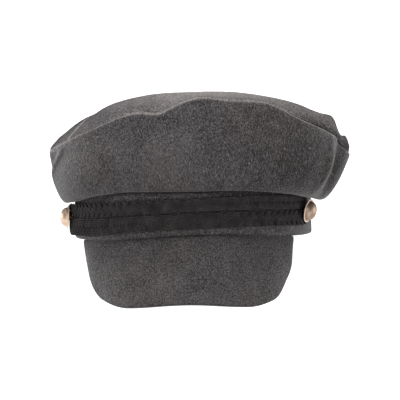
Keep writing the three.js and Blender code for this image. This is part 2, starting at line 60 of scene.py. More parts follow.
studio = {
    "sky": (1.0, 1.0, 1.0),
    "skyStrength": 0.3,
    "floorColour": (0.14, 0.14, 0.14),
    "floorGlow": 1.2,
    "floorSize": 9.0,
    "floorGrain": 40.0,
    "floorRoughness": 0.85,
    "aim": (0, 0, 0.07),
    # name, place in metres, size in metres, watts
    "lamps": [
        ("overhead", (-0.05, 0.1, 1.5), 0.8, 52.0),
        ("front", (-0.3, -1.9, 1.1), 1.0, 11.0),
        ("left", (-1.4, 0.5, 0.05), 0.4, 9.5),
        ("right", (1.4, 0.3, 0.05), 0.4, 7.0),
    ],
}


def toRow(points):
    tip = math.radians(restPose["tip"])
    x, y, z = np.moveaxis(np.asarray(points, float), -1, 0)
    turned = np.stack([x, y * math.cos(tip) + z * math.sin(tip), z * math.cos(tip) - y * math.sin(tip)], -1)
    return (turned + restPose["shift"]) / 1000


def addCamera():
    view = photoView
    lift, turn = math.radians(view["elevation"]), math.radians(view["turn"])
    back = Vector((math.sin(turn) * math.cos(lift), -math.cos(turn) * math.cos(lift), math.sin(lift)))
    right = Vector((math.cos(turn), math.sin(turn), 0))
    up = back.cross(right)
    axes = Matrix((right, up, back)).transposed() @ Matrix.Rotation(math.radians(-view["roll"]), 3, "Z")
    data = bpy.data.cameras.new("photoCamera")
    data.sensor_width = 36
    data.lens = data.sensor_width * view["distance"] / (view["millimetresPerPixel"] * view["imageSize"])
    camera = bpy.data.objects.new("photoCamera", data)
    place = (Vector(view["target"]) + back * view["distance"]) / 1000
    camera.matrix_world = Matrix.Translation(place) @ axes.to_4x4()
    bpy.context.scene.collection.objects.link(camera)
    bpy.context.scene.camera = camera


def addLights():
    world = bpy.data.worlds.new("studioSky")
    world.use_nodes = True
    sky = world.node_tree.nodes["Background"]
    sky.inputs["Color"].default_value = (*studio["sky"], 1)
    sky.inputs["Strength"].default_value = studio["skyStrength"]
    bpy.context.scene.world = world
    aim = Vector(studio["aim"])
    for name, place, size, watts in studio["lamps"]:
        data = bpy.data.lights.new(name, "AREA")
        data.size = size
        data.energy = watts
        lamp = bpy.data.objects.new(name, data)
        lamp.location = place
        lamp.rotation_euler = (aim - lamp.location).to_track_quat("-Z", "Y").to_euler()
        bpy.context.scene.collection.objects.link(lamp)


class Shade:
    # One output of a shader node, so that shader maths reads as an expression
    def __init__(self, tree, output=None):
        self.tree = tree
        self.output = output

    def node(self, kind, settings=None, sockets=None, output=0):
        made = self.tree.nodes.new(kind)
        for name, value in (settings or {}).items():
            setattr(made, name, value)
        for name, value in (sockets or {}).items():
            if isinstance(value, Shade):
                self.tree.links.new(value.output, made.inputs[name])
            else:
                made.inputs[name].default_value = value
        return Shade(self.tree, made.outputs[output] if len(made.outputs) else None)

    def math(self, operation, first, second=0.0):
        return self.node("ShaderNodeMath", {"operation": operation}, {0: first, 1: second})

    def __add__(self, other):
        return self.math("ADD", self, other)

    def __radd__(self, other):
        return self.math("ADD", other, self)

    def __sub__(self, other):
        return self.math("SUBTRACT", self, other)

    def __rsub__(self, other):
        return self.math("SUBTRACT", other, self)

    def __mul__(self, other):
        return self.math("MULTIPLY", self, other)

    def __rmul__(self, other):
        return self.math("MULTIPLY", other, self)

    def __truediv__(self, other):
        return self.math("DIVIDE", self, other)

    def __rtruediv__(self, other):
        return self.math("DIVIDE", other, self)

    def clamped(self):
        return self.node("ShaderNodeClamp", {}, {"Value": self})

    def mixed(self, dark, light):
        # self is the share of light
        return self.node("ShaderNodeMix", {"data_type": "RGBA"}, {0: self.clamped(), 6: dark, 7: light}, 2)


def startMaterial(name):
    material = bpy.data.materials.new(name)
    material.use_nodes = True
    material.node_tree.nodes.clear()
    return material, Shade(material.node_tree)


def addFloor():
    material, start = startMaterial("floorPaper")
    grain = start.node("ShaderNodeTexNoise", {}, {"Scale": studio["floorGrain"], "Detail": 3.0})
    surface = start.node("ShaderNodeBsdfPrincipled", {}, {
        "Base Color": (*studio["floorColour"], 1),
        "Roughness": grain * 0.1 + studio["floorRoughness"],
        "Emission Color": (*studio["sky"], 1),
        "Emission Strength": studio["floorGlow"],
    })
    start.node("ShaderNodeOutputMaterial", {}, {"Surface": surface})
    bpy.ops.mesh.primitive_plane_add(size=studio["floorSize"])
    floor = bpy.context.object
    floor.name = "floor"
    floor.data.materials.append(material)


bpy.context.scene.view_settings.view_transform = "Standard"
addCamera()
addLights()
addFloor()
print("studio ready")


# Finishes

wool = {
    "dark": (0.0195, 0.0175, 0.018, 1),
    "light": (0.094, 0.0845, 0.0835, 1),
    "coolLight": (0.09, 0.0855, 0.0895, 1),
    "hair": (0.23, 0.213, 0.215, 1),
    # colour of the light lines along seams and crest: wear and painted highlight
    "worn": (0.3, 0.275, 0.265, 1),
    # sizes in millimetres
    "fleckSize": 1.25,
    "fleckContrast": 2.9,
    "fineSize": 0.6,
    "fineContrast": 2.0,
    "cloudSize": 14.0,
    "cloudContrast": 0.9,
    "tintSize": 70.0,
    "tintContrast": 5.0,
    "fibreLength": 2.4,
    "fibreWidth": 0.4,
    "fibreContrast": 0.9,
    # turns of the three lays of fibres, in degrees
    "fibreLays": [(20, 35, 10), (75, -30, 50), (-40, 80, 120)],
    "hairFrom": 0.67,
    "hairSharpness": 9.0,
    "meanTone": 0.38,
    "wornContrast": 2.2,
    "wornLoss": 0.3,
    "fleckRelief": 0.8,
    "fibreRelief": 0.7,
    "fineRelief": 0.4,
    "reliefStrength": 0.9,
    "reliefHeight": 0.00035,
    "roughness": 0.95,
    "specular": 0.06,
    "sheenRoughness": 0.3,
}

braidFinish = {
    "dark": (0.0022, 0.002, 0.002, 1),
    "light": (0.088, 0.078, 0.079, 1),
    "yarnTwist": 1.1,  # millimetres of cord in one turn of its yarns
    "twistContrast": 0.3,
    "fuzzScale": 2600.0,
    "fuzzContrast": 0.6,
    "patchScale": 160.0,
    "patchContrast": 1.2,
    # painted highlight along the cords' outward side
    "highlightFrom": 0.88,
    "highlightSharpness": 7.0,
    "twistRelief": 0.7,
    "fuzzRelief": 0.6,
    "reliefStrength": 0.7,
    "reliefHeight": 0.0002,
    "roughness": 0.7,
    "roughnessSpread": 0.2,
    "specular": 0.1,
}

gilt = {
    "colour": (0.68, 0.52, 0.4, 1),
    "tarnish": (0.25, 0.18, 0.135, 1),
    "smearScale": 220.0,
    "smearContrast": 1.2,
    "scuffScale": 1500.0,
    "reliefStrength": 0.15,
    "reliefHeight": 0.0001,
    "roughnessSpread": 0.12,
}


def woolMaterial(name, shade=1.0, sheen=0.3, contrast=1.0, lay=1.0):
    # lay is how much longer the flecks are from front to back
    material, start = startMaterial(name)
    place = start.node("ShaderNodeMapping", {}, {
        "Vector": start.node("ShaderNodeTexCoord", output="Object"),
        "Scale": (1, 1 / lay, 1),
    })

    def grain(size, detail=2.0, rough=0.6, swirl=0.0):
        return start.node("ShaderNodeTexNoise", {}, {
            "Vector": place,
            "Scale": 1000 / size,
            "Detail": detail,
            "Roughness": rough,
            "Distortion": swirl,
        })

    flecks = grain(wool["fleckSize"], 3.0, 0.65, 0.6)
    fine = grain(wool["fineSize"])
    cloud = grain(wool["cloudSize"], 3.0)
    fibres, longest = 0.0, 0.0
    for turns in wool["fibreLays"]:
        along = start.node("ShaderNodeMapping", {}, {
            "Vector": place,
            "Rotation": [math.radians(turn) for turn in turns],
            "Scale": (1000 / wool["fibreWidth"], 1000 / wool["fibreWidth"], 1000 / wool["fibreLength"]),
        })
        streak = start.node("ShaderNodeTexNoise", {}, {"Vector": along, "Scale": 1.0, "Detail": 1.0})
        fibres = streak + fibres
        longest = start.math("MAXIMUM", streak, longest)
    fibres = (fibres - len(wool["fibreLays"]) / 2) * wool["fibreContrast"]
    hairs = (longest - wool["hairFrom"]) * wool["hairSharpness"]
    # painted shade and painted light: darkens or lightens the cloth's tone where less or more light falls
    # on it
    pile = start.node("ShaderNodeAttribute", {"attribute_name": "pile"}, output="Fac")
    mottle = (
        (flecks - 0.5) * wool["fleckContrast"] + (fine - 0.5) * wool["fineContrast"]
        + fibres + (cloud - 0.5) * wool["cloudContrast"]
    )
    tone = mottle * contrast + wool["meanTone"] + pile
    dark, warm, cool, hair = (
        (*(shade * level for level in wool[key][:3]), 1) for key in ("dark", "light", "coolLight", "hair")
    )
    tint = (grain(wool["tintSize"], 1.0) - 0.5) * wool["tintContrast"] + 0.5
    cloth = hairs.mixed(tone.mixed(dark, tint.mixed(warm, cool)), hair)
    # lighter lines along the seams and the crest, and over the top's middle: wear and painted highlight
    nap = start.node("ShaderNodeAttribute", {"attribute_name": "nap"}, output="Fac")
    worn = nap * (flecks * wool["wornContrast"] - wool["wornLoss"])
    relief = (
        (flecks - 0.5) * wool["fleckRelief"] + fibres * wool["fibreRelief"]
        + (fine - 0.5) * wool["fineRelief"]
    )
    normal = start.node("ShaderNodeBump", {}, {
        "Strength": wool["reliefStrength"],
        "Distance": wool["reliefHeight"],
        "Height": relief,
    })
    surface = start.node("ShaderNodeBsdfPrincipled", {}, {
        "Base Color": worn.mixed(cloth, wool["worn"]),
        "Roughness": wool["roughness"],
        "Specular IOR Level": wool["specular"],
        "Sheen Weight": sheen,
        "Sheen Roughness": wool["sheenRoughness"],
        "Normal": normal,
    })
    start.node("ShaderNodeOutputMaterial", {}, {"Surface": surface})
    return material


def braidMaterial():
    material, start = startMaterial("blackBraid")
    along = start.node("ShaderNodeAttribute", {"attribute_name": "along"}, output="Fac")
    around = start.node("ShaderNodeAttribute", {"attribute_name": "around"}, output="Fac")
    twist = start.math("SINE", (along / braidFinish["yarnTwist"] + around) * math.tau) * 0.5 + 0.5
    place = start.node("ShaderNodeTexCoord", output="Object")
    fuzz, patches = (
        start.node("ShaderNodeTexNoise", {}, {"Vector": place, "Scale": braidFinish[key], "Detail": 2.0})
        for key in ("fuzzScale", "patchScale")
    )
    # painted highlight along the outward side of each cord
    crest = start.math("SINE", around * math.tau)
    tone = (
        (crest - braidFinish["highlightFrom"]) * braidFinish["highlightSharpness"]
        + (twist - 0.5) * braidFinish["twistContrast"]
        + (fuzz - 0.5) * braidFinish["fuzzContrast"]
        + (patches - 0.5) * braidFinish["patchContrast"]
    )
    normal = start.node("ShaderNodeBump", {}, {
        "Strength": braidFinish["reliefStrength"],
        "Distance": braidFinish["reliefHeight"],
        "Height": twist * braidFinish["twistRelief"] + fuzz * braidFinish["fuzzRelief"],
    })
    surface = start.node("ShaderNodeBsdfPrincipled", {}, {
        "Base Color": tone.mixed(braidFinish["dark"], braidFinish["light"]),
        "Roughness": fuzz * braidFinish["roughnessSpread"] + braidFinish["roughness"],
        "Specular IOR Level": braidFinish["specular"],
        "Normal": normal,
    })
    start.node("ShaderNodeOutputMaterial", {}, {"Surface": surface})
    return material


def giltMaterial(name, worn, roughness):
    material, start = startMaterial(name)
    place = start.node("ShaderNodeTexCoord", output="Object")
    smear, scuffs = (
        start.node("ShaderNodeTexNoise", {}, {"Vector": place, "Scale": gilt[key], "Detail": detail})
        for key, detail in (("smearScale", 4.0), ("scuffScale", 3.0))
    )
    # painted highlight: the button's rim is kept clear of tarnish
    rimHighlight = start.node("ShaderNodeAttribute", {"attribute_name": "rimHighlight"}, output="Fac")
    dulled = (smear - 0.5) * gilt["smearContrast"] + worn - rimHighlight
    normal = start.node("ShaderNodeBump", {}, {
        "Strength": gilt["reliefStrength"],
        "Distance": gilt["reliefHeight"],
        "Height": scuffs,
    })
    surface = start.node("ShaderNodeBsdfPrincipled", {}, {
        "Base Color": dulled.mixed(gilt["colour"], gilt["tarnish"]),
        "Metallic": 1.0,
        "Roughness": smear * gilt["roughnessSpread"] + roughness,
        "Normal": normal,
    })
    start.node("ShaderNodeOutputMaterial", {}, {"Surface": surface})
    return material


finishes = {
    "crown": woolMaterial("woolCrown", sheen=0.34, contrast=0.9),
    # the top and the visor are the crown's wool darkened by shade: painted shade for how light falls on
    # them
    "top": woolMaterial("woolTop", shade=0.74, sheen=0.04, contrast=2.4, lay=3.2),
    "band": woolMaterial("woolBand", shade=1.12),
    "visor": woolMaterial("woolVisor", shade=0.7),
    "braid": braidMaterial(),
    "leftGilt": giltMaterial("roseGilt", worn=0.25, roughness=0.42),
    # the same gilt with painted shade: the right button's darker reflection is painted as heavy tarnish
    "rightGilt": giltMaterial("shadedGilt", worn=0.95, roughness=0.4),
}
print("finishes ready")


# Mesh helpers

def tableCurve(rows, columns, name, at, period=0):
    # smooth curve through one column of a table of stations; period joins its ends
    places = np.array([row[0] for row in rows], float)
    values = np.array([row[columns.index(name)] for row in rows], float)
    at = np.asarray(at, float)
    if period:
        at = places[0] + np.mod(at - places[0], period)
        places = np.concatenate([places[-1:] - period, places, places[:2] + period])
        values = np.concatenate([values[-1:], values, values[:2]])
    slopes = np.empty_like(values)
    slopes[1:-1] = (values[2:] - values[:-2]) / (places[2:] - places[:-2])
    slopes[0] = (values[1] - values[0]) / (places[1] - places[0])
    slopes[-1] = (values[-1] - values[-2]) / (places[-1] - places[-2])
    index = np.clip(np.searchsorted(places, at, side="right") - 1, 0, len(places) - 2)
    span = places[index + 1] - places[index]
    share = np.clip((at - places[index]) / span, 0, 1)
    square, cube = share ** 2, share ** 3
    return ((2 * cube - 3 * square + 1) * values[index] + (cube - 2 * square + share) * slopes[index] * span
            + (3 * square - 2 * cube) * values[index + 1] + (cube - square) * slopes[index + 1] * span)


def unit(vectors):
    return vectors / np.linalg.norm(vectors, axis=-1, keepdims=True)


def gridNormals(points, ringed):
    if ringed:
        along = np.roll(points, -1, 0) - np.roll(points, 1, 0)
    else:
        along = np.gradient(points, axis=0)
    return unit(np.cross(along, np.gradient(points, axis=1)))


def wander(points, size, seed):
    # smooth noise from -1 to 1 whose features are size millimetres across
    flat = points.reshape(-1, 3) / size + seed * 17.3
    return np.array([noise.noise(Vector(point)) for point in flat]).reshape(points.shape[:-1])


def bump(distance, wide):
    return np.exp(-((distance / wide) ** 2))


def roundedDrop(distance, radius):
    # how far a rounded edge falls away, radius at the edge itself and nothing radius inside it
    inside = np.clip(distance / radius, 0, 1)
    return radius * (1 - np.sqrt(1 - (1 - inside) ** 2))


def addPiece(name, sections, ringed, material, slot, pressed=False, **levels):
    # closed body through sections that are loops of equal length, as (sections, points, 3)
    count, points = sections.shape[:2]
    corners = toRow(sections)
    if pressed:
        corners[..., 2] = np.maximum(corners[..., 2], 0)
    index = np.arange(count * points).reshape(count, points)
    following = np.roll(index, -1, 0) if ringed else index[1:]
    here = index if ringed else index[:-1]
    quads = np.stack([here, following, np.roll(following, -1, 1), np.roll(here, -1, 1)], -1)
    faces = quads.reshape(-1, 4).tolist()
    if not ringed:
        half = points // 2
        for loop, flip in ((index[0], False), (index[-1], True)):
            for low in range(half - 1):
                quad = [loop[low], loop[low + 1], loop[points - 2 - low], loop[points - 1 - low]]
                faces.append(quad[::-1] if flip else quad)
    return finishPiece(name, corners.reshape(-1, 3), faces, material, levels)


def finishPiece(name, corners, faces, material, levels):
    mesh = bpy.data.meshes.new(name)
    mesh.from_pydata(corners.tolist(), [], faces)
    mesh.validate()
    for level, values in levels.items():
        attribute = mesh.attributes.new(level, "FLOAT", "POINT")
        attribute.data.foreach_set("value", np.asarray(values, np.float32).ravel())
    mesh.shade_smooth()
    mesh.materials.append(material)
    piece = bpy.data.objects.new(name, mesh)
    bpy.context.scene.collection.objects.link(piece)
    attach(piece, "root")
    print(name, len(faces), "faces")
    return piece


# Band: an oval ring of cloth round the head

seamGap = 0.3

band = {
    "width": 172,
    "length": 203.4,
    "height": 34,
    "wall": 2.6,
    "arch": 4.6,
    "archCentre": 6,
    "archHalf": 65,
    "edgeRound": 1.1,
    "unevenness": 0.35,
    "unevenSize": 26,
    # painted shadow under the crown's edge, and painted light where the band turns away at its right end
    "paintedShadowTone": -1.2,
    "endPaintedLight": 0.5,
    "endAngle": 76,
    "endWide": 11,
    "sections": 420,
    "rows": 26,
}


def bandOutward(angle):
    turn = np.radians(angle)
    return unit(np.stack([
        band["length"] * np.sin(turn),
        -band["width"] * np.cos(turn),
        np.zeros_like(turn),
    ], -1))


def bandPoint(angle, height, outward=0.0):
    angle, height, outward = np.broadcast_arrays(np.asarray(angle, float), height, outward)
    turn = np.radians(angle)
    base = np.stack([band["width"] / 2 * np.sin(turn), -band["length"] / 2 * np.cos(turn), height], -1)
    return base + bandOutward(angle) * outward[..., None]


def bandFoot(angle):
    # the lower edge, raised over the brow
    aside = np.abs(np.mod(np.asarray(angle) - band["archCentre"] + 180, 360) - 180)
    return band["arch"] * np.cos(np.minimum(1, aside / band["archHalf"]) * math.pi / 2) ** 2


# How far below its upper edge the band is darkened with painted shadow, where the crown overhangs it:
# angle, millimetres
bandShadowReach = [(-180, 5), (-62, 12), (-46, 9.5), (-35, 2.1), (-24, 1.3), (6, 1.3), (18, 3.4), (60, 6)]


def roundedSlab(wall, edge, rows):
    # outline of an upright strip as (share of height, millimetres inwards, millimetres from an end)
    bend = np.linspace(0, math.pi / 2, 5)[1:]
    edgeIn = edge * (1 - np.sin(bend))
    edgeUp = edge * (1 - np.cos(bend))
    faceUp = np.linspace(0, 1, rows)
    outer = [(0, wall / 2, 0)]
    outer += [(0, inside, up) for inside, up in zip(edgeIn, edgeUp)]
    outer += [(share, 0, 0) for share in faceUp[1:-1]]
    outer += [(1, inside, -up) for inside, up in zip(edgeIn[::-1], edgeUp[::-1])]
    outer += [(1, wall / 2, 0)]
    inner = [(share, wall - inside, up) for share, inside, up in outer[1:-1][::-1]]
    return np.array(outer + inner)


def makeBand():
    angles = np.linspace(-180, 180, band["sections"], endpoint=False)[:, None]
    outline = roundedSlab(band["wall"], band["edgeRound"], band["rows"])
    share, inside, up = outline.T[:, None, :]
    foot = bandFoot(angles)
    height = foot + (band["height"] - foot) * share + up
    plain = bandPoint(angles, height, -inside)
    sway = wander(bandPoint(angles, height), band["unevenSize"], seed=1) * band["unevenness"]
    sway = sway * np.clip(1 - np.abs(share - 0.5), 0, 1)
    points = plain + bandOutward(angles) * sway[..., None]
    # painted shadow below the band's upper edge, and painted light at its right end
    below = band["height"] - height
    pile = band["paintedShadowTone"] * bump(below, tableCurve(bandShadowReach, ("at", "reach"), "reach", angles, 360))
    pile = pile + band["endPaintedLight"] * bump(angles - band["endAngle"], band["endWide"])
    piece = addPiece("bandCloth", points, True, finishes["band"], "wool", pressed=True, pile=pile)
    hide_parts("band")


# Crown: wall pieces that bulge over the band, and a top panel sewn to them along the rim

crown = {
    "width": 219.2,
    "length": 222,
    "rise": 64,
    "dome": 69.8,
    "lean": 5.5,
    "setback": 6,
    "wall": 2.0,
    "belly": 16,
    "sideSeam": 61.5,
    # the left side seam swings back, in degrees, as it comes down the wall by a share of its height
    "seamSwing": 21,
    "swingTop": 0.96,
    "swingDrop": 0.28,
    "swingSpan": 70,
    "apexRight": 12,
    "apexForward": 18,
    "waveSpan": 44,
    "rippleReach": 0.22,
    # how far a fold stays below the rim, how quickly it dies out, and how it starts above the rim
    "foldSpan": 0.93,
    "foldEase": 0.7,
    "foldStart": 0.08,
    "mitreLimit": 1.6,
    "seamRound": 1.0,
    "seamGap": 0.06,
    "allowance": 6.5,  # width of the turned cloth that shows through beside a seam
    "allowanceProud": 0.22,
    "allowanceFade": 1.6,
    "pucker": 0.1,
    "puckerLength": 6.5,
    "puckerReach": 5,
    "puckerDrift": 3,
    "puckerDriftSize": 18,
    "unevenness": 0.55,
    "unevenSize": 30,
    "dimples": 0.14,
    "dimpleSize": 9,
    "evenBeside": 8,  # the cloth is calmer this close to a seam
    "napWidth": 0.7,
    "napAside": 0.45,
    "crestWidth": 1.3,
    # how light the seams are with wear and painted highlight, from 0 to 1
    "wearLeft": 0.75,
    "wearRight": 0.62,
    "wearCrest": 0.7,
    "frontSections": 250,
    "backSections": 330,
    "topSections": 640,
    "wallRows": 52,
    "topRows": 92,
    # places of the closest sections and rows, as shares of the way from a side seam or the rim
    "sideEdge": (0, 0.0012, 0.0028, 0.0048, 0.0075, 0.011),
    "rimEdge": (0, 0.004, 0.009, 0.015, 0.023, 0.034),
    "topEdge": (0, 0.002, 0.0045, 0.008, 0.012, 0.018),
    "edgeClear": 1.4,  # the even ones start this many times as far away
    "topCrowding": 1.25,
}

# Wear and painted highlight along the rim: angle and how light it is
rimWearAndHighlightColumns = ("at", "light")
rimWearAndHighlight = [
    (-180, 0.1), (-78, 0.02), (-62, 0.5), (-50, 0.25), (-32, 0.4), (-10, 0.45),
    (10, 0.35), (28, 0.45), (42, 0.5), (50, 0.35), (60, 0.25), (75, 0.2),
]
# Wear and painted highlight lightening the top panel's middle: its middle in plan, as for the folds below,
# how wide and how light
topWearAndHighlight = (0.1, -0.38, 0.5, 0.36)
# The line that the left side seam presses into the top panel, as for the folds below, lightened along it
# with wear and painted highlight
crestLine = (-0.82, -0.56, -0.63, -0.148)
# Painted shade and painted light: places where the cloth is darkened or lightened for how light falls on
# it. On
# the top panel: x and y in plan, reach and tone
topPaintedShading = [
    (-0.9, -0.1, 0.3, -0.8),
    (-0.55, -0.45, 0.3, -0.15),
    (0.97, -0.12, 0.2, -1.0),
    (0.7, -0.45, 0.25, -0.25),
]
# and on the wall: angle, wide, up, tall, tone, and 1 where it follows the left seam
wallPaintedShading = [
    (72, 9, 0.75, 0.35, -1.5, 0),
    (-72, 7, 0.9, 0.28, -3.0, 1),
    (70, 14, 0.22, 0.25, 1.0, 0),
    (-84, 14, 0.25, 0.3, 0.6, 0),
    (-6, 24, 0.5, 0.3, 0.25, 0),
    (46, 13, 0.6, 0.35, -0.35, 0),
]

# Angles are in degrees from the front, positive to the right. reach is a share of the rim oval
# and rise of the crown's rise. out, sag and full, shares of belly, and lift, a share of the
# wall's height, draw the wall's belly. steep and round shape the top panel inside the rim.
crownColumns = ("at", "reach", "rise", "out", "sag", "full", "lift", "steep", "round")
crownStations = [
    (-180, 1, 0.39, 0.5, 0.8, 0.25, 0.3, 0.62, 2.2),
    (-140, 1, 0.41, 0.5, 0.9, 0.2, 0.25, 0.72, 2.6),
    (-90, 1, 0.452, 0.42, 1.45, -0.03, 0.13, 0.93, 3.1),
    (-61.5, 1, 0.54, 0.42, 1.25, 0.12, 0.2, 0.97, 2.85),
    (-48.5, 1, 0.635, 0.42, 0.75, 0.3, 0.3, 0.93, 2.75),
    (-38, 1, 0.72, 0.4, 0.42, 0.4, 0.38, 0.85, 2.7),
    (-27.5, 1, 0.82, 0.4, 0.05, 0.45, 0.42, 0.85, 2.3),
    (-20, 1, 0.856, 0.4, 0, 0.45, 0.45, 0.9, 2),
    (-12.5, 0.995, 0.845, 0.4, 0, 0.45, 0.45, 0.9, 2),
    (-6, 1, 0.935, 0.4, 0, 0.45, 0.45, 1, 2),
    (2, 1, 1, 0.4, 0, 0.45, 0.45, 1, 2),
    (12, 1, 0.975, 0.4, 0.08, 0.45, 0.45, 1, 2),
    (28, 1, 0.927, 0.4, 0.35, 0.42, 0.42, 0.85, 2.1),
    (41, 1, 0.767, 0.42, 0.68, 0.35, 0.36, 0.67, 2.3),
    (48.5, 1, 0.695, 0.45, 0.9, 0.3, 0.3, 0.56, 2.35),
    (61.5, 1, 0.575, 0.45, 1.3, 0.08, 0.22, 0.53, 2.45),
    (75, 0.985, 0.445, 0.42, 1.55, -0.2, 0.16, 0.48, 2.45),
    (90, 1, 0.352, 0.38, 1.65, -0.35, 0.15, 0.4, 2.4),
    (140, 1, 0.38, 0.5, 0.9, 0.2, 0.25, 0.58, 2.2),
]

# Dents and creases of the wall: at, lean and wide in degrees, up and tall as shares of the way
# from band to rim, proud of the belly, and 1 where a fold swings back with the left seam
wallFolds = [
    (-61.5, 0, 4, 0.86, 0.2, 0.085, 1),
    (-72, 0, 6, 0.92, 0.2, -0.08, 1),
    (61.5, 3, 4, 0.75, 0.4, 0.16, 0),
    (71.5, 0, 6, 0.85, 0.35, -0.43, 0),
    (-13, 0, 11, 0.82, 0.12, -0.14, 0),
    (38, 0, 9, 0.86, 0.13, -0.16, 0),
    (112, 10, 7, 0.7, 0.35, -0.16, 0),
    (150, -12, 9, 0.65, 0.35, -0.14, 0),
    (-105, -10, 7, 0.7, 0.35, -0.16, 0),
    (-146, 12, 9, 0.65, 0.35, -0.14, 0),
]

# Folds of the top panel along lines in plan, x and y as shares of half the crown's width and
# length from the rim's centre: from x, from y, to x, to y, wide, proud of the rise
topFolds = [
    (-0.82, -0.56, -0.7, -0.3, 0.03, 0.012),
    (-0.74, -0.25, -0.6, 0.1, 0.06, -0.03),
    (-0.95, -0.3, -0.97, 0.2, 0.045, 0.03),
    (0.86, -0.5, 0.9, 0.1, 0.06, 0.05),
    (0.94, -0.35, 0.95, 0.35, 0.032, -0.13),
    (-0.3, 0.45, 0.35, 0.4, 0.3, -0.09),
    (0.3, -0.15, 0.65, -0.2, 0.25, -0.01),
]


def crownCurve(name, angle):
    return tableCurve(crownStations, crownColumns, name, angle, 360)


def wearAndHighlightAtRim(angle):
    return tableCurve(rimWearAndHighlight, rimWearAndHighlightColumns, "light", angle, 360)


def rimPoint(angle):
    turn = np.radians(angle)
    reach = crownCurve("reach", angle)
    return np.stack([
        crown["lean"] + crown["width"] / 2 * reach * np.sin(turn),
        crown["setback"] - crown["length"] / 2 * reach * np.cos(turn),
        band["height"] + crown["rise"] * crownCurve("rise", angle),
    ], -1)


def swingBack(share):
    # how far the left side seam has swung back at a share of the wall's height
    ease = np.clip((crown["swingTop"] - share) / crown["swingDrop"], 0, 1)
    return crown["seamSwing"] * ease ** 2 * (3 - 2 * ease)


def swungAngle(angle, share):
    aside = np.abs(np.mod(angle + crown["sideSeam"] + 180, 360) - 180) / crown["swingSpan"]
    return angle - swingBack(share) * np.cos(math.pi / 2 * np.minimum(1, aside)) ** 2


def wallFace(angle, share):
    # outer face of the wall, share 0 at the band and 1 at the rim
    seam = band["height"] + seamGap
    outward = bandOutward(angle)
    out, sag, full = (crown["belly"] * crownCurve(name, angle) for name in ("out", "sag", "full"))
    foot, rim = bandPoint(angle, seam), rimPoint(angle)
    under = foot + outward * out[..., None]
    under[..., 2] = seam - sag
    over = rim + outward * full[..., None]
    over[..., 2] = seam + (rim[..., 2] - seam) * crownCurve("lift", angle)
    s = share[..., None]
    point = foot * (1 - s) ** 3 + under * 3 * s * (1 - s) ** 2 + over * 3 * s ** 2 * (1 - s) + rim * s ** 3
    proud = 0
    for at, lean, wide, up, tall, rise, swings in wallFolds:
        crease = at + lean * (share - up) - swings * swingBack(share)
        aside = np.mod(angle - crease + 180, 360) - 180
        proud = proud + rise * bump(aside, wide) * bump(share - up, tall)
    free = np.sin(math.pi * np.minimum(1, share * crown["foldSpan"])) ** crown["foldEase"]
    return point + outward * (crown["belly"] * proud * free)[..., None]


def inPlan(point):
    return ((point[..., 0] - crown["lean"]) / (crown["width"] / 2),
            (point[..., 1] - crown["setback"]) / (crown["length"] / 2))


def besideFold(planX, planY, fold):
    # distance in plan from a fold's line, and the share of the line passed
    fromX, fromY, toX, toY = fold[:4]
    alongX, alongY = toX - fromX, toY - fromY
    along = ((planX - fromX) * alongX + (planY - fromY) * alongY) / (alongX ** 2 + alongY ** 2)
    nearest = np.clip(along, 0, 1)
    return np.hypot(planX - fromX - nearest * alongX, planY - fromY - nearest * alongY), nearest


def topFace(angle, share):
    # outer face of the top panel, share 0 at the rim and 1 at its highest point
    rim = rimPoint(angle)
    apex = np.array([crown["apexRight"], -crown["apexForward"], band["height"] + crown["dome"]])
    steep, rounding = crownCurve("steep", angle), crownCurve("round", angle)
    climb = (1 - (1 - share) ** rounding) ** (steep + (1 - steep) * share)
    steps = [crownCurve("rise", angle + step * crown["waveSpan"] / 4) for step in range(-2, 3)]
    calm = band["height"] + crown["rise"] * sum(steps) / len(steps)
    ripple = (rim[..., 2] - calm) * bump(share, crown["rippleReach"])
    point = rim + (apex - rim) * share[..., None]
    planX, planY = inPlan(point)
    proud = 0
    for fold in topFolds:
        wide, rise = fold[4:]
        proud = proud + rise * bump(besideFold(planX, planY, fold)[0], wide)
    free = np.minimum(1, share / crown["foldStart"])
    point[..., 2] = calm + (apex[2] - calm) * climb + ripple + crown["rise"] * proud * free
    return point


def towardsEdge(count, edges):
    # even shares from 0 to 1, with more of them close to 1
    even = np.linspace(0, 1, count)
    clear = 1 - edges[-1] * crown["edgeClear"]
    return np.unique(np.concatenate([even[even < clear], 1 - np.array(edges)]))


def lengthFrom(points, axis, fromEnd):
    # millimetres along a grid of points from one of its edges
    steps = np.linalg.norm(np.diff(points, axis=axis), axis=-1)
    if fromEnd:
        steps = np.flip(steps, axis)
    lengths = np.concatenate([np.zeros_like(np.take(steps, [0], axis)), np.cumsum(steps, axis)], axis)
    return np.flip(lengths, axis) if fromEnd else lengths


def sewnCloth(face, normals, seams, wear, angles):
    # settles cloth between its seams: rounded into them, uneven, slightly puckered and thicker
    # where its edge is turned under. Returns the face and the light lines along the seams, wear and painted
    # highlight.
    nearest = np.minimum.reduce(seams)
    relief = wander(face, crown["unevenSize"], seed=3) * crown["unevenness"]
    relief = relief + wander(face, crown["dimpleSize"], seed=4) * crown["dimples"]
    relief = relief * np.clip(nearest / crown["evenBeside"], 0, 1) ** 1.5
    turned = crown["allowanceProud"] * np.clip(nearest / 2, 0, 1)
    relief += turned * (1 - 1 / (1 + np.exp((crown["allowance"] - nearest) * crown["allowanceFade"])))
    turns = angles * math.radians(crown["width"] / 2) / crown["puckerLength"]
    drift = wander(face, crown["puckerDriftSize"], seed=5) * crown["puckerDrift"]
    waves = np.sin(turns * math.tau + drift)
    relief += crown["pucker"] * waves * np.exp(-nearest / crown["puckerReach"])
    relief -= sum(roundedDrop(seam, crown["seamRound"]) for seam in seams)
    lines = [worn * bump(seam - crown["napAside"], crown["napWidth"]) for seam, worn in zip(seams, wear)]
    return face + normals * relief[..., None], np.maximum.reduce(lines)


